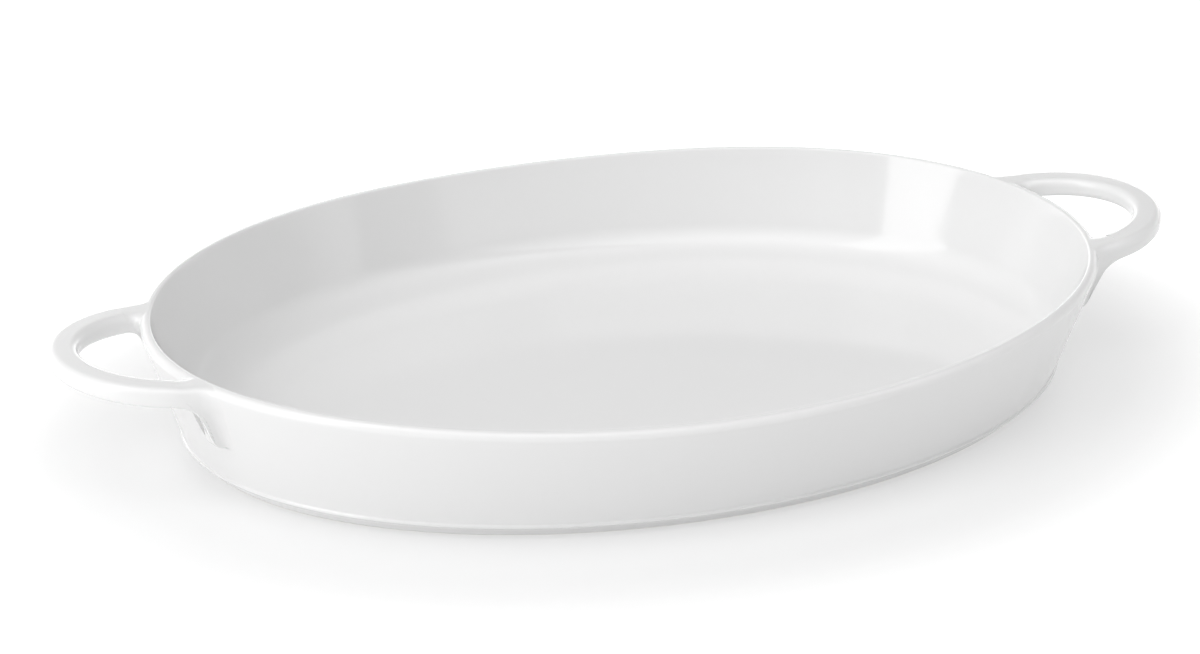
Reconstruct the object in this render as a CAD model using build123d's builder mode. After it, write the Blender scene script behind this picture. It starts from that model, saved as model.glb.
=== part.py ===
"""Oval gratin dish in white glazed porcelain, with an open loop handle at each end.

Millimetres, +Z up. The origin is on the table under the middle of the dish, and X runs
along the dish through both handles. The dish, its foot and its two handles are formed
apart in clay, joined with slip while they are leather-hard, and fired as one.
"""
import os

from build123d import *

# The dish: an oval tray with one straight flared wall, measured to the outside of the clay.
# Its length is the length over the handles, less what each of them reaches out past the rim
overall_length = 371.0
handle_reach = 29.5
rim_width = 222.0
end_flare = 12.4
side_flare = 13.7
rim_length = overall_length - 2 * handle_reach
base_length = rim_length - 2 * end_flare
base_width = rim_width - 2 * side_flare
rim_height = 40.6
rim_sag = 1.8
wall = 3.8
floor = 3.8
floor_radius = 20.0
base_edge_radius = 1.0
# The shares of the lip's width that are rounded away, softly outside and tightly inside
lip_outer_share = 0.777
lip_inner_share = 0.172

# The foot: a low oval ring set in from the wall, with its lower face bare of glaze
foot_height = 3.8
foot_inset = 2.4
foot_draft = 0.9
foot_width = 4.6
foot_edge_radius = 0.8
# The underside of the floor is recessed this far, so that only the ring touches the table
base_recess = 1.2

# The handles: a flat bar bent to a D, with a tongue that runs down the wall at each root
handle_span = 70.0
handle_centre_inset = 8.3
bar_width = 9.4
bar_thickness = 6.2
bar_drop = 0.3
handle_rise = 2.6
bar_top_radius = 2.3
bar_under_radius = 1.5
tongue_drop = 21.2
tongue_bottom = rim_height - tongue_drop
tongue_proud = 3.0
tongue_foot_radius = 3.6
tongue_tip_width = 5.6
tongue_corner_radius = 1.9
throat_radius = 8.0

# Cutting tools run this far past what they cut
overrun = 12.0

os.makedirs("parts", exist_ok=True)


def outer_radii(height):
    """Half the length and half the width of the wall's outside at one height."""
    up = (height - foot_height) / (rim_height - foot_height)
    return (
        (base_length + (rim_length - base_length) * up) / 2,
        (base_width + (rim_width - base_width) * up) / 2,
    )


def wall_end(height, aside):
    """How far out along X the wall's outside lies at a height, beside the long axis."""
    half_length, half_width = outer_radii(height)
    return half_length * (1 - (aside / half_width) ** 2) ** 0.5


# How far the wall leans out for each mm of height, where it leans the most and the least.
# The sharper a corner of the lip, the more of its width a radius takes
most_lean = max(end_flare, side_flare) / (rim_height - foot_height)
least_lean = min(end_flare, side_flare) / (rim_height - foot_height)
lip_outer_radius = lip_outer_share * wall * ((1 + most_lean**2) ** 0.5 - most_lean)
lip_inner_radius = lip_inner_share * wall * ((1 + least_lean**2) ** 0.5 + least_lean)

# The space above the rim, which dips in one long arc so that the sides sit lower than the ends
tool_top = rim_height + overrun
tool_end = rim_length / 2 + overrun
tool_rim = rim_height - rim_sag + rim_sag * (tool_end / (rim_length / 2)) ** 2
with BuildPart() as above_rim:
    with BuildSketch(Plane.XZ):
        with BuildLine():
            lip = ThreePointArc((-tool_end, tool_rim), (0, rim_height - rim_sag), (tool_end, tool_rim))
            Polyline(lip @ 1, (tool_end, tool_top), (-tool_end, tool_top), lip @ 0)
        make_face()
    extrude(amount=rim_width, both=True)

# The outside of the dish as a filled form, which the dish is hollowed from and the handles end on
with BuildPart() as outside:
    with BuildSketch(Plane.XY.offset(foot_height)):
        Ellipse(*outer_radii(foot_height))
    with BuildSketch(Plane.XY.offset(tool_top)):
        Ellipse(*outer_radii(tool_top))
    loft(ruled=True)
    fillet(outside.edges().group_by(Axis.Z)[0], radius=base_edge_radius)
    add(above_rim.part, mode=Mode.SUBTRACT)
    fillet(outside.faces().filter_by(GeomType.CYLINDER)[0].edges(), radius=lip_outer_radius)

# The hollow, with a wide soft corner between floor and wall for serving and washing
floor_height = base_recess + floor
with BuildPart() as hollow:
    with BuildSketch(Plane.XY.offset(floor_height)):
        Ellipse(*[radius - wall for radius in outer_radii(floor_height)])
    with BuildSketch(Plane.XY.offset(tool_top)):
        Ellipse(*[radius - wall for radius in outer_radii(tool_top)])
    loft(ruled=True)
    fillet(hollow.edges().group_by(Axis.Z)[0], radius=floor_radius)

# The form inside the foot ring, which the floor hangs down into
with BuildPart() as inside_foot:
    with BuildSketch(Plane.XY):
        Ellipse(*[radius - foot_inset - foot_width for radius in outer_radii(foot_height)])
    with BuildSketch(Plane.XY.offset(foot_height)):
        Ellipse(*[radius - foot_inset - foot_draft - foot_width for radius in outer_radii(foot_height)])
    loft(ruled=True)

with BuildPart() as dish_body:
    add(inside_foot.part)
    with BuildSketch(Plane.XY):
        Ellipse(*outer_radii(foot_height))
    extrude(amount=base_recess, mode=Mode.SUBTRACT)
    add(outside.part)
    add(hollow.part, mode=Mode.SUBTRACT)
    lip_face = dish_body.faces().filter_by(GeomType.CYLINDER)[0]
    fillet(lip_face.inner_wires()[0].edges(), radius=lip_inner_radius)
dish_body.part.label = "dish_body"
export_step(dish_body.part, "parts/dish_body.step")

# The foot ring, drawn in a little towards the table so that it leaves its mould
with BuildPart() as foot_ring:
    with BuildSketch(Plane.XY):
        Ellipse(*[radius - foot_inset - foot_draft for radius in outer_radii(foot_height)])
    with BuildSketch(Plane.XY.offset(foot_height)):
        Ellipse(*[radius - foot_inset for radius in outer_radii(foot_height)])
    loft(ruled=True)
    add(inside_foot.part, mode=Mode.SUBTRACT)
    fillet(foot_ring.faces().sort_by(Axis.Z)[0].edges(), radius=foot_edge_radius)
foot_ring.part.label = "foot_ring"
export_step(foot_ring.part, "parts/foot_ring.step")

# A handle's plan: half an ellipse with straight legs that run back into the dish
handle_centre = rim_length / 2 - handle_centre_inset
outer_reach = overall_length / 2 - handle_centre
outer_half = handle_span / 2
inner_reach = outer_reach - bar_width
inner_half = outer_half - bar_width
leg_middle = outer_half - bar_width / 2
# Its side view: the bar rises outwards from its root on the rim
root = wall_end(rim_height, leg_middle)
back = wall_end(tongue_bottom, outer_half) - overrun
tip = overall_length / 2 + overrun
rise_share = handle_rise / (overall_length / 2 - root)


def bar_line(out, drop):
    """A point at a distance out along X, a drop below the sloping top of the bar."""
    return (out, rim_height - bar_drop - drop + rise_share * (out - root))


# The tongue's front stands proud of the wall and runs down parallel to it
shoulder = bar_line(root, bar_thickness)[1]
tongue_head = bar_line(wall_end(shoulder, leg_middle) + tongue_proud, bar_thickness)
tongue_foot = (wall_end(tongue_bottom, leg_middle) + tongue_proud, tongue_bottom)

with BuildPart() as bar:
    with BuildSketch(Plane.XY):
        with Locations((handle_centre, 0)):
            Ellipse(outer_reach, outer_half)
            Rectangle(handle_centre - back, 2 * outer_half, align=(Align.MAX, Align.CENTER))
        with Locations((handle_centre, 0)):
            Ellipse(inner_reach, inner_half, mode=Mode.SUBTRACT)
            Rectangle(
                handle_centre - back, 2 * inner_half, align=(Align.MAX, Align.CENTER), mode=Mode.SUBTRACT
            )
    extrude(amount=tool_top)
    with BuildSketch(Plane.XZ) as side:
        with BuildLine():
            Polyline(
                bar_line(back, 0),
                bar_line(tip, 0),
                bar_line(tip, bar_thickness),
                tongue_head,
                tongue_foot,
                (back, tongue_bottom),
                close=True,
            )
        make_face()
        fillet(side.vertices().sort_by_distance(tongue_head)[0], radius=throat_radius)
        fillet(side.vertices().sort_by_distance(tongue_foot)[0], radius=tongue_foot_radius)
    extrude(amount=outer_half, both=True, mode=Mode.INTERSECT)
    # The bar is rounded widely above and more tightly below
    fillet(bar.faces().sort_by(Axis.Z)[-1].edges().filter_by(Axis.Y, reverse=True), radius=bar_top_radius)
    lengthwise = bar.edges().filter_by(Axis.Y, reverse=True).filter_by(Axis.Z, reverse=True)
    under_edges = lengthwise.filter_by(
        lambda edge: edge.center().Z < bar_line(edge.center().X, bar_thickness / 2)[1]
    )
    fillet(under_edges, radius=bar_under_radius)
    # Seen from the end each tongue narrows downwards, which leaves its sides with crisp edges
    with BuildSketch(Plane.YZ) as front:
        with Locations((0, shoulder)):
            Rectangle(2 * handle_span, overrun + tool_top - shoulder, align=(Align.CENTER, Align.MIN))
        for leg in (-leg_middle, leg_middle):
            with BuildLine():
                Polyline(
                    (leg - bar_width / 2, shoulder),
                    (leg - tongue_tip_width / 2, tongue_bottom),
                    (leg + tongue_tip_width / 2, tongue_bottom),
                    (leg + bar_width / 2, shoulder),
                    close=True,
                )
            make_face()
        fillet(front.vertices().group_by(Axis.Y)[0], radius=tongue_corner_radius)
    extrude(amount=tip, mode=Mode.INTERSECT)

# Each handle ends on the wall and lip that it is luted to, and the pair are mirror images
with BuildPart() as handle_right:
    add(bar.part)
    add(outside.part, mode=Mode.SUBTRACT)
handle_right.part.label = "handle_right"
export_step(handle_right.part, "parts/handle_right.step")

with BuildPart() as handle_left:
    mirror(handle_right.part, about=Plane.YZ)
handle_left.part.label = "handle_left"
export_step(handle_left.part, "parts/handle_left.step")
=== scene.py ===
"""Oval gratin dish in white glazed porcelain, on a glowing opal table inside a light tent."""
import bpy
import numpy as np
from mathutils import Matrix


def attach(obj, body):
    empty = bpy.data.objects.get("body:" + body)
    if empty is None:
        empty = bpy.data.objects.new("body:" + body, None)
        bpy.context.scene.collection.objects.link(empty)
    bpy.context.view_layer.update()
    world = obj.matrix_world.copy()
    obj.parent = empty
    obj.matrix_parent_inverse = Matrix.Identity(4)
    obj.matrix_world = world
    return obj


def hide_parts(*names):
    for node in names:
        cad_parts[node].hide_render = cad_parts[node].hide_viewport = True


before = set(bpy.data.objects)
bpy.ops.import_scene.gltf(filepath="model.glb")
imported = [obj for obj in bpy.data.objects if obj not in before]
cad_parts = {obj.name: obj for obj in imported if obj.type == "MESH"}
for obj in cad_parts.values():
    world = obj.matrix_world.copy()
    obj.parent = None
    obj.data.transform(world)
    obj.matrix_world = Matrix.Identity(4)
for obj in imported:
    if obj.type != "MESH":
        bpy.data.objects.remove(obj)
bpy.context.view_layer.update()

# THE VIEW
# A long lens on a tripod, seen from in front of the left handle and looking down
# a little over the rim. The angles come from fitting both handles and the rim.
VIEW_AZIMUTH = np.radians(-22.19)
VIEW_ELEVATION = np.radians(23.4)
VIEW_ROLL = np.radians(0.2767)
VIEW_DISTANCE = 1.177
VIEW_AIM = (-0.009157, 0.02072)
LENS_MM, FILM_MM = 111.177, 36.0
VIEW_REACH = 20.0

back = np.array([
    np.sin(VIEW_AZIMUTH) * np.cos(VIEW_ELEVATION),
    -np.cos(VIEW_AZIMUTH) * np.cos(VIEW_ELEVATION),
    np.sin(VIEW_ELEVATION),
])
level = np.array([np.cos(VIEW_AZIMUTH), np.sin(VIEW_AZIMUTH), 0.0])
upright = np.cross(back, level)
place = VIEW_AIM[0] * level + VIEW_AIM[1] * upright + VIEW_DISTANCE * back
right = np.cos(VIEW_ROLL) * level + np.sin(VIEW_ROLL) * upright
up = -np.sin(VIEW_ROLL) * level + np.cos(VIEW_ROLL) * upright

lens = bpy.data.cameras.new("view")
lens.lens = LENS_MM
lens.sensor_width = FILM_MM
lens.sensor_fit = "HORIZONTAL"
lens.clip_end = VIEW_REACH
view = bpy.data.objects.new("view", lens)
view.matrix_world = Matrix([
    (right[0], up[0], back[0], place[0]),
    (right[1], up[1], back[1], place[1]),
    (right[2], up[2], back[2], place[2]),
    (0, 0, 0, 1),
])
bpy.context.scene.collection.objects.link(view)
bpy.context.scene.camera = view
bpy.context.scene.view_settings.view_transform = "Standard"
bpy.context.scene.view_settings.look = "None"

# THE STAGE
# A shooting table of opal acrylic that glows from the lamps under it, inside a tent of white cloth
# that is lit from outside, most of all high up in front. A strip softbox stands in the tent.
TABLE_HALF = 4.0
# The table lies this far under the foot, so that the two never share a plane
TABLE_GAP = 0.00005
# Its glow is painted dimmer in an oval round the dish, a painted soft shadow that also dims what the dish's
# outer wall gets from it, and it glows fully further out.
# The oval's half axes in metres, where the glow begins and ends to grow, and its two strengths
SHADE_OVAL = (0.17, 0.125)
SHADE_FROM, SHADE_TO = 0.95, 1.35
PAINTED_SHADE_GLOW, OPEN_TABLE_GLOW = 0.41, 0.66


def linear(sheet_hex):
    """One sRGB hex colour as the linear RGBA that a shader works in."""
    parts = np.array([int(sheet_hex[i:i + 2], 16) for i in (1, 3, 5)]) / 255
    low = parts <= 0.04045
    parts = np.where(low, parts / 12.92, ((parts + 0.055) / 1.055) ** 2.4)
    return (*parts.tolist(), 1.0)


def add_node(material, kind, links=None, **settings):
    """Adds one node with its settings, and links {its input: another node's output}."""
    node = material.node_tree.nodes.new(kind)
    for name, value in settings.items():
        if hasattr(node, name):
            setattr(node, name, value)
        else:
            node.inputs[name.replace("_", " ")].default_value = value
    for name, source in (links or {}).items():
        material.node_tree.links.new(source, node.inputs[name])
    return node


def new_material(name):
    """An empty node material and its output node."""
    material = bpy.data.materials.new(name)
    material.use_nodes = True
    material.node_tree.nodes.clear()
    return material, material.node_tree.nodes.new("ShaderNodeOutputMaterial")


def new_mesh(name, points, faces, *materials):
    """A smooth-shaded piece from an array of points in metres and a list of faces."""
    data = bpy.data.meshes.new(name)
    data.from_pydata(points.tolist(), [], faces)
    data.polygons.foreach_set("use_smooth", [True] * len(data.polygons))
    for material in materials:
        data.materials.append(material)
    data.update()
    piece = bpy.data.objects.new(name, data)
    bpy.context.scene.collection.objects.link(piece)
    return piece


# Opal acrylic with a sanded face: milky and satin, so that what stands on it has a soft shadow and
# hardly any mirror image. It is clear from below, so that it does not hide the underside of the dish
opal, opal_out = new_material("sanded_opal_acrylic")
opal_shader = add_node(
    opal, "ShaderNodeBsdfPrincipled",
    Base_Color=linear("#B4B4B4"), Roughness=0.5, IOR=1.6, Emission_Color=linear("#FFFFFF"),
)
opal_place = add_node(opal, "ShaderNodeTexCoord").outputs["Object"]
oval_place = add_node(
    opal, "ShaderNodeMapping", {"Vector": opal_place}, Scale=(1 / SHADE_OVAL[0], 1 / SHADE_OVAL[1], 0),
)
oval_reach = add_node(
    opal, "ShaderNodeVectorMath", {0: oval_place.outputs["Vector"]}, operation="LENGTH",
)
# The table's glow, painted dimmer near the dish as a painted shadow round it
glow_with_painted_shade = add_node(
    opal, "ShaderNodeMapRange", {"Value": oval_reach.outputs["Value"]}, interpolation_type="SMOOTHSTEP",
    From_Min=SHADE_FROM, From_Max=SHADE_TO, To_Min=PAINTED_SHADE_GLOW, To_Max=OPEN_TABLE_GLOW,
)
opal.node_tree.links.new(glow_with_painted_shade.outputs["Result"], opal_shader.inputs["Emission Strength"])
under_side = add_node(opal, "ShaderNodeNewGeometry").outputs["Backfacing"]
see_through = add_node(opal, "ShaderNodeBsdfTransparent")
opal_mix = add_node(
    opal, "ShaderNodeMixShader",
    {"Fac": under_side, 1: opal_shader.outputs["BSDF"], 2: see_through.outputs["BSDF"]},
)
opal.node_tree.links.new(opal_mix.outputs["Shader"], opal_out.inputs["Surface"])

corners = np.array([(-1, -1, 0), (1, -1, 0), (1, 1, 0), (-1, 1, 0)]) * TABLE_HALF - (0, 0, TABLE_GAP)
table = new_mesh("opal_table", corners, [(0, 1, 2, 3)], opal)

room = bpy.data.worlds.new("dark_room")
room.use_nodes = True
bpy.context.scene.world = room
room.node_tree.nodes["Background"].inputs["Strength"].default_value = 0.0

# How bright the tent's cloth is, in eighths of a turn from the view's right, counted against the
# clock, at the table, 20, 45 and 70 degrees up; and then straight overhead
TENT_HEIGHTS = (0, 20, 45, 70, 90)
TENT_GLOW = np.array([
    (0.20, 1.90, 3.60, 2.50, 0.15, 0.00, 0.00, 0.00),
    (0.80, 0.55, 0.60, 1.10, 0.60, 0.12, 0.05, 0.30),
    (1.00, 0.05, 0.00, 0.30, 1.15, 1.80, 1.05, 0.90),
    (1.40, 0.20, 0.10, 0.20, 0.95, 2.30, 2.80, 2.45),
    (0.96, 0.96, 0.96, 0.96, 0.96, 0.96, 0.96, 0.96),
])
TENT_RADIUS, TENT_TOP = 3.0, 88
# A low lamp stands outside the cloth in front on the right: past this turn and between these heights
LAMP_TURN, LAMP_HEIGHTS, LAMP_GLOW = 240.0, (9.0, 18.0), 0.6
# The gap where the cloth is pinned together in front, which the back wall of the dish mirrors as a
# darker band: its two turns, its height and how sharp its edges are
GAP, GAP_TOP, GAP_EDGE = (326.0, 342.0), 82.0, 0.5


def in_tent(turn, height, radius):
    """The point in a direction from the dish: degrees round from the view's right, and up."""
    turn, height = np.radians(turn) + VIEW_AZIMUTH, np.radians(height)
    flat = np.cos(height)
    return radius * np.stack([flat * np.cos(turn), flat * np.sin(turn), np.sin(height)], -1)


# White cotton cloth, lit evenly from outside: its glow runs smoothly from each given place to the next
gap_edges = [side + edge for side in GAP for edge in (-GAP_EDGE, GAP_EDGE)]
tent_turns = np.unique([*np.arange(0, 360, 7.5), *gap_edges])
tent_turn, tent_height = np.meshgrid(tent_turns, np.linspace(0, TENT_TOP, 23))
ring_glow = np.stack([np.interp(tent_turns, np.arange(0, 361, 45), [*ring, ring[0]]) for ring in TENT_GLOW])
tent_glow = np.stack([np.interp(tent_height[:, 0], TENT_HEIGHTS, column) for column in ring_glow.T], -1)
by_lamp = (tent_turn > LAMP_TURN) & (tent_height > LAMP_HEIGHTS[0]) & (tent_height < LAMP_HEIGHTS[1])
tent_glow[by_lamp] += LAMP_GLOW
tent_glow[(tent_turn > GAP[0]) & (tent_turn < GAP[1]) & (tent_height < GAP_TOP)] = 0.0
tent_ids = np.arange(tent_turn.size).reshape(tent_turn.shape)
tent_next = np.roll(tent_ids, -1, 1)
tent_faces = np.stack([tent_ids[:-1], tent_ids[1:], tent_next[1:], tent_next[:-1]], -1)
tent_top = tent_ids[-1, ::-1].tolist()
cloth, cloth_out = new_material("white_tent_cloth")
glow_node = add_node(cloth, "ShaderNodeAttribute", attribute_name="glow")
cloth_light = add_node(cloth, "ShaderNodeEmission", {"Strength": glow_node.outputs["Fac"]})
cloth.node_tree.links.new(cloth_light.outputs["Emission"], cloth_out.inputs["Surface"])
tent_points = in_tent(tent_turn, tent_height, TENT_RADIUS).reshape(-1, 3)
tent = new_mesh("tent", tent_points, [*tent_faces.reshape(-1, 4).tolist(), tent_top], cloth)
tent.data.attributes.new("glow", "FLOAT", "POINT").data.foreach_set("value", tent_glow.ravel())

# A strip softbox stands inside it on the left, half hidden by a torn reflector: the right inside
# wall of the dish mirrors it as a bright patch with a ragged edge. Its outline as (turn, height)
STRIP_GLOW, STRIP_RADIUS = 3.4, 2.9
strip_outline = np.array([
    (233, 3), (233, 72), (203, 72), (205, 15), (208, 13.6), (211, 13.2),
    (216, 12.9), (213, 12.0), (208, 11.0), (206, 10.0), (207, 3),
])
strip_cloth, strip_out = new_material("strip_softbox_cloth")
strip_light = add_node(strip_cloth, "ShaderNodeEmission", Strength=STRIP_GLOW)
strip_cloth.node_tree.links.new(strip_light.outputs["Emission"], strip_out.inputs["Surface"])
strip_points = in_tent(strip_outline[:, 0], strip_outline[:, 1], STRIP_RADIUS)
strip = new_mesh("strip_softbox", strip_points, [tuple(range(len(strip_points)))[::-1]], strip_cloth)

# DISH_BODY
# The dish itself: slip-cast white porcelain, one even wall that flares out straight
# from a flat base, sponged round at the lip, dipped in clear glaze and fired.
# The half length and half width of the wall's outside at its foot and at its rim, and their heights
BASE_A, BASE_B, BASE_Z = 143.6, 97.3, 3.8
RIM_A, RIM_B, RIM_Z = 156.0, 111.0, 40.6
LEAN = (RIM_A - BASE_A + RIM_B - BASE_B) / 2 / (RIM_Z - BASE_Z)
WALL, UNDER_Z, FLOOR_Z = 3.8, 1.2, 5.0
LIP_OUTER, LIP_INNER = 2.05, 0.91
RIM_MEAN, RIM_DIP, RIM_WAVE = 40.11, 1.771, 1.058
CORNER_UP, CORNER_IN = 11.0, 22.0
BEAD, BEAD_IN = 0.8, 0.1
# The floor hangs down inside the foot ring: how far in, and its flank as (further in, height)
BOSS_INSET = 7.32
BOSS_FLANK = ((0.0, UNDER_Z), (0.3, 2.5), (0.6, BASE_Z))
# Where the rings of points lie under the dish and on its floor, as shares of the way from its middle
UNDER_RINGS = (0.0, 0.35, 0.65, 0.85, 0.94, 0.99, 0.998)
FLOOR_RINGS = (0.99, 0.97, 0.9, 0.75, 0.55, 0.3, 0.0)
ROUND_STEPS, OUTSIDE_STEPS, INSIDE_STEPS, CORNER_STEPS = 576, 16, 11, 34
OUTER_ARC_STEPS, INNER_ARC_STEPS, BEAD_STEPS = 15, 11, 14


def arc(centre, radius, start, end, steps):
    """Points on a circle's arc from one angle to another, in degrees."""
    turn = np.radians(np.linspace(start, end, steps))
    return np.stack([centre[0] + radius * np.cos(turn), centre[1] + radius * np.sin(turn)], -1)


def rim_height(angle):
    """The lip's height at each angle: lowest at the middle of the long sides, and a little
    higher just beside the ends than at them, as the green clay sat before it was fired."""
    along = np.cos(angle) ** 2
    return RIM_MEAN + RIM_DIP * (along - 0.5) - RIM_WAVE * ((2 * along - 1) ** 2 - 0.5)


def on_dish(angle, inset, height):
    """The point at an angle round the dish, a distance in from the wall's outer cone, at a height.
    Both half axes of the oval grow evenly with the height."""
    rise = (height - BASE_Z) / (RIM_Z - BASE_Z)
    half_length = BASE_A + (RIM_A - BASE_A) * rise - inset
    half_width = BASE_B + (RIM_B - BASE_B) * rise - inset
    return np.stack([half_length * np.cos(angle), half_width * np.sin(angle), height + 0 * angle], -1)


# The lip's section as (distance in from the wall's outer cone, drop from the top), in the plane
# that stands across the wall: a soft arc outside, a narrow flat and a tight arc inside
tilt = np.arctan(LEAN)
outer_centre = np.array([-(LIP_OUTER / np.cos(tilt) + LIP_OUTER * np.tan(tilt)), -LIP_OUTER])
outer_arc = arc(outer_centre, LIP_OUTER, -np.degrees(tilt), 90, OUTER_ARC_STEPS)
inner_centre = np.array([-WALL + LIP_INNER / np.cos(tilt) - LIP_INNER * np.tan(tilt), -LIP_INNER])
inner_arc = arc(inner_centre, LIP_INNER, 90, 180 - np.degrees(tilt), INNER_ARC_STEPS)
lip = np.concatenate([outer_arc, inner_arc])
lip_inset = -(lip[:, 0] - LEAN * lip[:, 1])
lip_drop = -lip[:, 1]

# The wall's foot as (distance out from the outer cone, height): it ends in a fine round bead that
# stands a little proud, where the two halves of the mould meet
bead_arc = arc((-BEAD_IN, BASE_Z + BEAD), BEAD, -90, 48, BEAD_STEPS)
bead_neck = np.array([
    (0.28, BASE_Z + 1.52), (0.12, BASE_Z + 1.68), (0.03, BASE_Z + 1.9), (0.0, BASE_Z + 2.3),
])
foot_of_wall = np.concatenate([bead_arc, bead_neck])
foot_inset, foot_height = -foot_of_wall[:, 0], foot_of_wall[:, 1]

# The corner between the wall and the floor, short up the wall and long over the floor: a parabola
# that leaves the wall and reaches the floor along the lines of both
wall_foot = -WALL + LEAN * (FLOOR_Z - BASE_Z)
corner_ends = np.array([
    (wall_foot + LEAN * CORNER_UP, FLOOR_Z + CORNER_UP), (wall_foot, FLOOR_Z), (wall_foot - CORNER_IN, FLOOR_Z),
])
gone = np.linspace(0, 1, CORNER_STEPS)[:, None]
corner_curve = (
    (1 - gone) ** 2 * corner_ends[0] + 2 * gone * (1 - gone) * corner_ends[1] + gone**2 * corner_ends[2]
)
corner_inset = -(corner_curve[:, 0] - LEAN * (corner_curve[:, 1] - BASE_Z))


def dish_rows(angle):
    """The dish's section at each angle, as one row of points from the middle of the underside,
    out and up the wall, over the lip, down inside and back to the middle of the floor."""
    top = rim_height(angle)
    rows = []
    for share in UNDER_RINGS:
        rows.append(on_dish(angle, BOSS_INSET, BASE_Z) * (share, share, 0) + (0, 0, UNDER_Z))
    for further, height in BOSS_FLANK:
        rows.append(on_dish(angle, BOSS_INSET + further, BASE_Z) * (1, 1, 0) + (0, 0, height))
    for inset, height in zip(foot_inset, foot_height):
        rows.append(on_dish(angle, inset, height))
    outer_start = top - lip_drop[0]
    for share in np.linspace(0, 1, OUTSIDE_STEPS)[1:-1]:
        rows.append(on_dish(angle, 0.0, foot_height[-1] + (outer_start - foot_height[-1]) * share))
    for inset, drop in zip(lip_inset, lip_drop):
        rows.append(on_dish(angle, inset, top - drop))
    inner_start = top - lip_drop[-1]
    for share in np.linspace(0, 1, INSIDE_STEPS)[1:-1]:
        rows.append(on_dish(angle, WALL, inner_start + (corner_curve[0, 1] - inner_start) * share))
    for inset, height in zip(corner_inset, corner_curve[:, 1]):
        rows.append(on_dish(angle, inset, height))
    for share in FLOOR_RINGS:
        rows.append(on_dish(angle, corner_inset[-1], FLOOR_Z) * (share, share, 1))
    return np.array(rows)


def closed_piece(name, rows, *materials):
    """A closed smooth piece from a grid of points in mm (row, step round): closed round, with its
    first and last rows each drawn together to one point."""
    count, steps = rows.shape[:2]
    points = np.concatenate([rows[0, :1], rows[1:-1].reshape(-1, 3), rows[-1, :1]]) / 1000
    ids = 1 + np.arange((count - 2) * steps).reshape(count - 2, steps)
    turned = np.roll(ids, -1, 1)
    quads = np.stack([ids[:-1], turned[:-1], turned[1:], ids[1:]], -1).reshape(-1, 4)
    first = np.stack([0 * ids[0], turned[0], ids[0]], -1)
    last = np.stack([0 * ids[0] + len(points) - 1, ids[-1], turned[-1]], -1)
    return new_mesh(name, points, quads.tolist() + first.tolist() + last.tolist(), *materials)


# Hard porcelain under a clear dipped glaze: a cool neutral white with a wet gloss, a slow wave of
# about 36 mm where the glaze ran and pooled, an orange peel of about 2.4 mm, and here and there,
# some 33 mm apart, a fine iron speck
porcelain, porcelain_out = new_material("dipped_clear_glaze_on_porcelain")
where = add_node(porcelain, "ShaderNodeTexCoord").outputs["Object"]
wave = add_node(porcelain, "ShaderNodeTexNoise", {"Vector": where}, Scale=28.0, Detail=1.0, Roughness=0.4)
peel = add_node(porcelain, "ShaderNodeTexNoise", {"Vector": where}, Scale=420.0, Detail=1.0, Roughness=0.5)
wave_bump = add_node(
    porcelain, "ShaderNodeBump", {"Height": wave.outputs["Fac"]}, Strength=1.0, Distance=0.00012,
)
peel_bump = add_node(
    porcelain, "ShaderNodeBump", {"Height": peel.outputs["Fac"], "Normal": wave_bump.outputs["Normal"]},
    Strength=1.0, Distance=0.000004,
)
speck = add_node(porcelain, "ShaderNodeTexVoronoi", {"Vector": where}, Scale=30.0)
speck_spot = add_node(
    porcelain, "ShaderNodeMapRange", {"Value": speck.outputs["Distance"]}, interpolation_type="SMOOTHSTEP",
    From_Min=0.004, From_Max=0.009, To_Min=1.0, To_Max=0.0,
)
# A colour Mix node's two colours, by the places of their sockets
FIRST_COLOUR, SECOND_COLOUR, MIXED_COLOUR = 6, 7, 2
tint = add_node(
    porcelain, "ShaderNodeMix", {"Factor": speck_spot.outputs["Result"]}, data_type="RGBA", blend_type="MIX",
)
tint.inputs[FIRST_COLOUR].default_value = linear("#EAEAEA")
tint.inputs[SECOND_COLOUR].default_value = linear("#8A857C")
glaze = add_node(
    porcelain, "ShaderNodeBsdfPrincipled",
    {"Base Color": tint.outputs[MIXED_COLOUR], "Normal": peel_bump.outputs["Normal"]},
    Roughness=0.09, IOR=1.5,
)
porcelain.node_tree.links.new(glaze.outputs["BSDF"], porcelain_out.inputs["Surface"])

round_angles = np.arange(ROUND_STEPS) * 2 * np.pi / ROUND_STEPS
dish = closed_piece("dish", dish_rows(round_angles), porcelain)
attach(dish, "root")
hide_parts("dish_body")

# FOOT_RING
# The low oval ring that the dish stands on: luted under the base and glazed on its sides,
# with its lower face wiped bare before firing and ground flat, so that it does not stick.
FOOT_INSET, FOOT_DRAFT, FOOT_WIDTH = 2.4, 0.9, 4.6
FOOT_EDGE, EDGE_STEPS = 0.8, 8
# How far up its sides the ring has one more row of points
SIDE_Z = BASE_Z * 0.6

outer_edge = arc((-FOOT_INSET - FOOT_DRAFT - FOOT_EDGE, FOOT_EDGE), FOOT_EDGE, -90, -8, EDGE_STEPS)
inner_edge = arc((-FOOT_INSET - FOOT_WIDTH + FOOT_EDGE, FOOT_EDGE), FOOT_EDGE, 188, 270, EDGE_STEPS)
foot_section = np.concatenate([
    outer_edge,
    [(-FOOT_INSET - FOOT_DRAFT / 2, SIDE_Z), (-FOOT_INSET, BASE_Z)],
    [(-FOOT_INSET - FOOT_WIDTH / 2, BASE_Z), (-FOOT_INSET - FOOT_WIDTH - FOOT_DRAFT, BASE_Z)],
    [(-FOOT_INSET - FOOT_WIDTH - FOOT_DRAFT / 2, SIDE_Z)],
    inner_edge,
])


def foot_rows(angle):
    """The foot's section carried round the oval of the dish's base."""
    along = (BASE_A + foot_section[:, :1]) * np.cos(angle)
    across = (BASE_B + foot_section[:, :1]) * np.sin(angle)
    return np.stack([along, across, foot_section[:, 1:] + 0 * along], -1)


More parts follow.
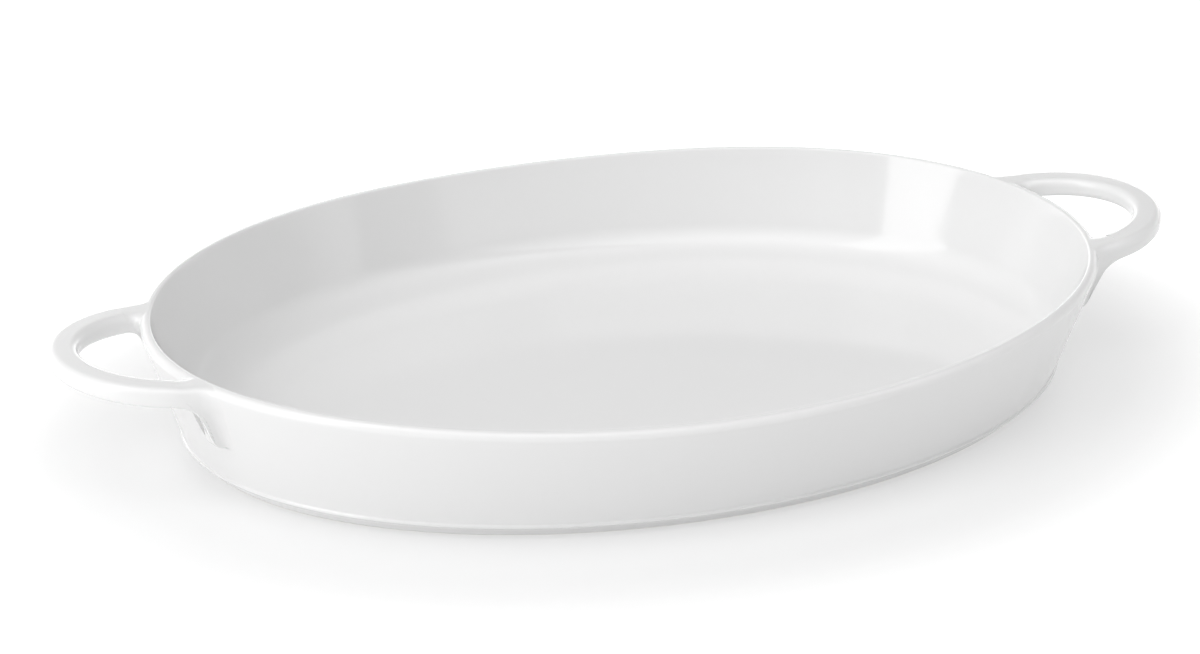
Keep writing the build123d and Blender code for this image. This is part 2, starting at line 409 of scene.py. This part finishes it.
# Biscuit porcelain where the glaze was wiped off and the foot's face ground on a wheel: dry, matt
# and a little warmer than the glaze, with the grit's fine pits of about 1 mm
biscuit, biscuit_out = new_material("ground_bare_porcelain")
biscuit_place = add_node(biscuit, "ShaderNodeTexCoord").outputs["Object"]
pits = add_node(biscuit, "ShaderNodeTexNoise", {"Vector": biscuit_place}, Scale=900.0, Detail=3.0)
pit_bump = add_node(
    biscuit, "ShaderNodeBump", {"Height": pits.outputs["Fac"]}, Strength=0.6, Distance=0.00008,
)
pit_tone = add_node(biscuit, "ShaderNodeMix", {"Factor": pits.outputs["Fac"]}, data_type="RGBA")
pit_tone.inputs[FIRST_COLOUR].default_value = linear("#D2CDC3")
pit_tone.inputs[SECOND_COLOUR].default_value = linear("#E6E2DA")
biscuit_shader = add_node(
    biscuit, "ShaderNodeBsdfPrincipled",
    {"Base Color": pit_tone.outputs[MIXED_COLOUR], "Normal": pit_bump.outputs["Normal"]},
    Roughness=0.75, IOR=1.5,
)
biscuit.node_tree.links.new(biscuit_shader.outputs["BSDF"], biscuit_out.inputs["Surface"])

section_steps = len(foot_section)
ring_ids = np.arange(section_steps * ROUND_STEPS).reshape(section_steps, ROUND_STEPS)
next_row, next_step = np.roll(ring_ids, -1, 0), np.roll(ring_ids, -1, 1)
ring_faces = np.stack([ring_ids, next_step, np.roll(next_row, -1, 1), next_row], -1)
foot = new_mesh(
    "foot", foot_rows(round_angles).reshape(-1, 3) / 1000, ring_faces.reshape(-1, 4).tolist(),
    porcelain, biscuit,
)
# The bare face runs from a little way up the inner edge to a little way up the outer one
bare_rows = np.zeros(section_steps, int)
bare_rows[:3] = 1
bare_rows[-4:] = 1
foot.data.polygons.foreach_set("material_index", np.repeat(bare_rows, ROUND_STEPS))
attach(foot, "root")
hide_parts("foot_ring")

# HANDLES
# A loop handle for each end, pressed in its own mould and luted to the leather-hard dish with
# slip: a flat bar bent to a D, whose roots run down the wall as tongues and are sponged smooth
# into it. Their tops are flush with the lip, and the same glaze runs over both.
BEND_X, BEND_REACH, BEND_HALF = 147.7, 33.14, 30.22
BAR_WIDTH, BAR_DEPTH = 9.3, 6.0
ROOT_TOP, ROOT_X, RISE, RISE_EASE = 40.6, 149.0, 0.0657, 3.0
TOP_ROUND, UNDER_ROUND_OUT, UNDER_ROUND_ROOT = 2.6, 2.0, 0.95
# The bar's underside begins to turn down at FAN_X, and its top ends in the lip at TOP_END_X
FAN_X, THROAT_X, TOP_END_X = 163.5, 151.0, 150.4
TONGUE_Z, TONGUE_TIP, TONGUE_TAPER = 19.4, 5.6, 1.4
TONGUE_PROUD, TONGUE_SUNK = 3.0, 0.3
THROAT, TONGUE_FOOT = 9.0, 3.6
BEND_STEPS, ROOT_STEPS, FILLET_STEPS, ARC_STEPS = 34, 45, 15, 25
# The least and the most that the root may stand proud of the wall for the fillet's size
LEAST_PROUD, MOST_PROUD = 0.8, 7.6
# How far the sponged fillet spreads over the wall, and where the root begins to turn to it, as a
# share of the way down the root, from the top of its sides to their foot
FILLET_SPREAD, SIDE_SPREAD = 1.7, 1.15
TURN_EARLY, TURN_LATER = 0.2, 0.52
# The skin lands this far under the wall's glaze, and the piece's hidden end is this far under it
SKIN_DEPTH, END_DEPTH, END_SPREAD, CORE_DROP = 0.015, 0.15, 1.15, 2.5


def top_line(x):
    """The height of the bar's top: level with the lip at the root, easing to a steady rise."""
    past = x - ROOT_X
    return ROOT_TOP + RISE / 2 * (past + np.sqrt(past**2 + RISE_EASE**2))


def wall_x(y, z):
    """How far out the dish's outer cone lies at a place across it and a height."""
    rise = (z - BASE_Z) / (RIM_Z - BASE_Z)
    half_length = BASE_A + (RIM_A - BASE_A) * rise
    half_width = BASE_B + (RIM_B - BASE_B) * rise
    return half_length * np.sqrt(1 - (y / half_width) ** 2)


def rounded_path(points, radii, count):
    """A run of straight lines with its inner corners rounded to the given radii, as a count of
    evenly spaced points. Each arc touches both of its lines."""
    run = [points[0]]
    for before, corner, after, radius in zip(points, points[1:], points[2:], radii):
        to_last = (before - corner) / np.linalg.norm(before - corner)
        to_next = (after - corner) / np.linalg.norm(after - corner)
        half = np.arccos(to_last @ to_next) / 2
        middle = to_last + to_next
        centre = corner + middle / np.linalg.norm(middle) * radius / np.sin(half)
        start = corner + to_last * radius / np.tan(half) - centre
        end = corner + to_next * radius / np.tan(half) - centre
        share = np.linspace(0, 1, ARC_STEPS)[:, None]
        spokes = np.sin((1 - share) * (np.pi - 2 * half)) * start + np.sin(share * (np.pi - 2 * half)) * end
        run.extend(centre + spokes / np.sin(np.pi - 2 * half))
    run.append(points[-1])
    run = np.array(run)
    length = np.concatenate([[0], np.cumsum(np.linalg.norm(np.diff(run, axis=0), axis=1))])
    even = np.linspace(0, length[-1], count)
    return np.stack([np.interp(even, length, run[:, 0]), np.interp(even, length, run[:, 1])], -1)


# The bar's under edge and then the tongue's front, seen from the side as (x, z): in along the
# bar's underside, round the throat, down the front parallel to the wall and in at the foot
throat_z = top_line(THROAT_X) - BAR_DEPTH
under_run = rounded_path(
    np.array([
        (FAN_X, top_line(FAN_X) - BAR_DEPTH),
        (wall_x(BEND_HALF, throat_z) + TONGUE_PROUD, throat_z),
        (wall_x(BEND_HALF, TONGUE_Z) + TONGUE_PROUD, TONGUE_Z),
        (wall_x(BEND_HALF, TONGUE_Z) + TONGUE_SUNK, TONGUE_Z),
    ]),
    (THROAT, TONGUE_FOOT), ROOT_STEPS,
)

# The section as a loop of points, each a share of the way: over the top face, round the top
# corner, down the side, round the under corner and over the under face, then back
TOP_FACE, TOP_CORNER, SIDE, UNDER_CORNER, UNDER_FACE = range(5)
half_parts = (
    (TOP_FACE, np.linspace(0, 1, 6)[:-1]),
    (TOP_CORNER, np.radians(np.linspace(90, 0, 9))),
    (SIDE, np.linspace(0, 1, 14)[1:-1]),
    (UNDER_CORNER, np.radians(np.linspace(0, 90, 8))),
    (UNDER_FACE, 1 - np.linspace(0, 1, 6)[1:]),
)
half_kind = np.concatenate([np.full(len(shares), part) for part, shares in half_parts])
half_value = np.concatenate([shares for part, shares in half_parts])
kind = np.concatenate([half_kind, half_kind[-2:0:-1]])
value = np.concatenate([half_value, half_value[-2:0:-1]])
hand = np.concatenate([np.ones(len(half_kind)), -np.ones(len(half_kind) - 2)])
on_face = (kind == TOP_FACE) | (kind == UNDER_FACE)
turned = np.where(on_face, np.pi / 2, np.where(kind == SIDE, 0.0, value))
upper = kind <= TOP_CORNER
lower = kind >= UNDER_CORNER


def bar_width(z):
    """The bar's full width at a height: even above the throat, narrowing down the tongue."""
    down = np.clip((throat_z - z) / (throat_z - TONGUE_Z), 0, 1)
    return BAR_WIDTH - (BAR_WIDTH - TONGUE_TIP) * down**TONGUE_TAPER


def section(top_x, under, inward, under_round):
    """The loop's points for one row of stations: rounded corners of two radii, hung between the
    top line and the under edge, as (station, point round) arrays of x on the path, offset
    across it and height. Inward is the direction into the clay at the under edge."""
    top = np.stack([top_x, top_line(top_x)], -1)[:, None]
    under, inward, under_round = under[:, None], inward[:, None], under_round[:, None, None]
    retreat = (1 - np.sin(turned))[None, :, None]
    at_top = top + retreat * TOP_ROUND * np.array([0, -1])
    at_under = under + retreat * under_round * inward
    share = np.where(kind == SIDE, value, 0)[None, :, None]
    at_side = at_top * (1 - share) + at_under * share
    spot = np.where(upper[None, :, None], at_top, np.where(lower[None, :, None], at_under, at_side))
    round_off = np.where(upper, TOP_ROUND, np.where(lower, under_round[:, :, 0], 0))
    half = bar_width(spot[..., 1]) / 2
    flat = np.where(on_face, value, 1.0)
    offset = hand * ((half - round_off) * flat + round_off * np.cos(turned))
    return spot[..., 0], offset, spot[..., 1]


def on_bend(path_x, offset, z):
    """The point at an offset across the handle's plan, which is half an ellipse with straight
    legs: out from the ellipse along its normal."""
    cosine = np.clip((path_x - BEND_X) / BEND_REACH, 0, 1)
    sine = np.sqrt(1 - cosine**2)
    normal = np.stack([cosine / BEND_REACH, sine / BEND_HALF], -1)
    normal = normal / np.linalg.norm(normal, axis=-1, keepdims=True)
    return np.stack([path_x + offset * normal[..., 0], BEND_HALF * sine + offset * normal[..., 1], z], -1)


def on_wall(y, drop, depth=0.0):
    """The point on the dish's outside, lip and all, across from the long axis at a drop below the
    lip's top, or a depth under that skin."""
    top = rim_height(np.arcsin(y / RIM_B))
    z = top - drop - depth
    outer_lip = slice(OUTER_ARC_STEPS - 1, None, -1)
    inset = np.interp(drop, lip_drop[outer_lip], lip_inset[outer_lip]) + depth
    rise = (z - BASE_Z) / (RIM_Z - BASE_Z)
    angle = np.arcsin(y / (BASE_B + (RIM_B - BASE_B) * rise - inset))
    return on_dish(angle, inset, z)


# From the middle of the bend to where the underside begins to turn down
bend_angle = np.linspace(0, np.arccos((FAN_X - BEND_X) / BEND_REACH), BEND_STEPS)
bend_x = BEND_X + BEND_REACH * np.cos(bend_angle)
bend_under = np.stack([bend_x, top_line(bend_x) - BAR_DEPTH], -1)
bend_share = (bend_angle / bend_angle[-1]) ** 2
bend_round = UNDER_ROUND_OUT + (UNDER_ROUND_ROOT - UNDER_ROUND_OUT) * bend_share
bend = on_bend(*section(bend_x, bend_under, np.tile([0.0, 1.0], (BEND_STEPS, 1)), bend_round))

# The root: the top goes straight on into the lip while the under edge runs down the tongue, so
# the section grows from a bar to a tall web
step = np.gradient(under_run, axis=0)
step /= np.linalg.norm(step, axis=1, keepdims=True)
inward = np.stack([step[:, 1], -step[:, 0]], -1)
travelled = (FAN_X - under_run[:, 0]) / (FAN_X - under_run[-1, 0])
root_top_x = FAN_X - (FAN_X - TOP_END_X) * travelled
root_round = np.full(ROOT_STEPS, UNDER_ROUND_ROOT)
root_x, root_offset, root_z = section(root_top_x, under_run, inward, root_round)

# Where each line of the skin would run into the dish if it went on along the bend: each pass
# moves it by what it still misses the wall by
offset, end_z = root_offset[-1], root_z[-1]
meet_x = np.full(len(kind), 150.0)
for _ in range(8):
    meet = on_bend(meet_x, offset, end_z)
    drop = np.maximum(rim_height(np.arcsin(meet[:, 1] / RIM_B)) - end_z, 0)
    meet_x = meet_x + on_wall(meet[:, 1], drop)[:, 0] - meet[:, 0]
hit = on_wall(meet[:, 1], drop)

# It stops short of the wall by half of what the tongue stands proud there, and the sponged
# fillet turns from there onto the wall
cone_x = wall_x(meet[:, 1], end_z)
front_x = np.interp(end_z, under_run[::-1, 1], under_run[::-1, 0], right=FAN_X)
proud = np.clip(front_x - cone_x, LEAST_PROUD, MOST_PROUD)
standoff = np.where(lower, 0.5 * proud * np.cos(turned) + 0.9 * (1 - np.cos(turned)), 0.5 * proud)
turn_on_side = np.where(kind == SIDE, TURN_EARLY + TURN_LATER * value**2, TURN_EARLY)
begins = np.where(lower, TURN_EARLY + TURN_LATER, turn_on_side)
moved = np.clip((np.linspace(0, 1, ROOT_STEPS)[:, None] - begins) / (1 - begins), 0, 1)
moved = moved**2 * (3 - 2 * moved)
root_x = root_x + moved * (cone_x + standoff - root_x[-1])
root = on_bend(root_x, root_offset, root_z)

spread = np.where(on_face & upper, 0.0, np.where(on_face, FILLET_SPREAD, SIDE_SPREAD * standoff))
spread_y = spread * hand * np.where(lower | upper, np.cos(turned), 1.0)
spread_z = np.where(lower, FILLET_SPREAD * np.sin(turned), 0.0)
landed = on_wall(hit[:, 1] + spread_y, drop + spread_z, SKIN_DEPTH)
turn = np.radians(np.linspace(0, 90, FILLET_STEPS))[1:, None]
left_x = meet_x + (root_x[-1] - meet_x) * (1 - np.sin(turn))
left_z = hit[:, 2] + (end_z - hit[:, 2]) * (1 - np.sin(turn))
fillet = on_bend(left_x, offset, left_z) + (1 - np.cos(turn))[..., None] * (landed - hit)

# Under the glaze the piece ends inside the wall, where no one sees it
buried = on_wall(hit[:, 1] + spread_y * END_SPREAD, drop + spread_z * END_SPREAD, END_DEPTH)
core = on_dish(np.arcsin(hit[:, 1] / RIM_B), WALL / 2, np.minimum(end_z, ROOT_TOP - CORE_DROP))
plug = np.tile(core.mean(0), (len(core), 1))
half_handle = np.concatenate([bend, root[1:], fillet, buried[None], core[None], plug[None]])
whole = np.concatenate([half_handle[:0:-1] * (1, -1, 1), half_handle])

for side, mirror, rows in (("right", 1, whole), ("left", -1, whole[::-1])):
    handle = closed_piece(f"loop_handle_{side}", rows * (mirror, 1, 1), porcelain)
    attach(handle, "root")
    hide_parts(f"handle_{side}")
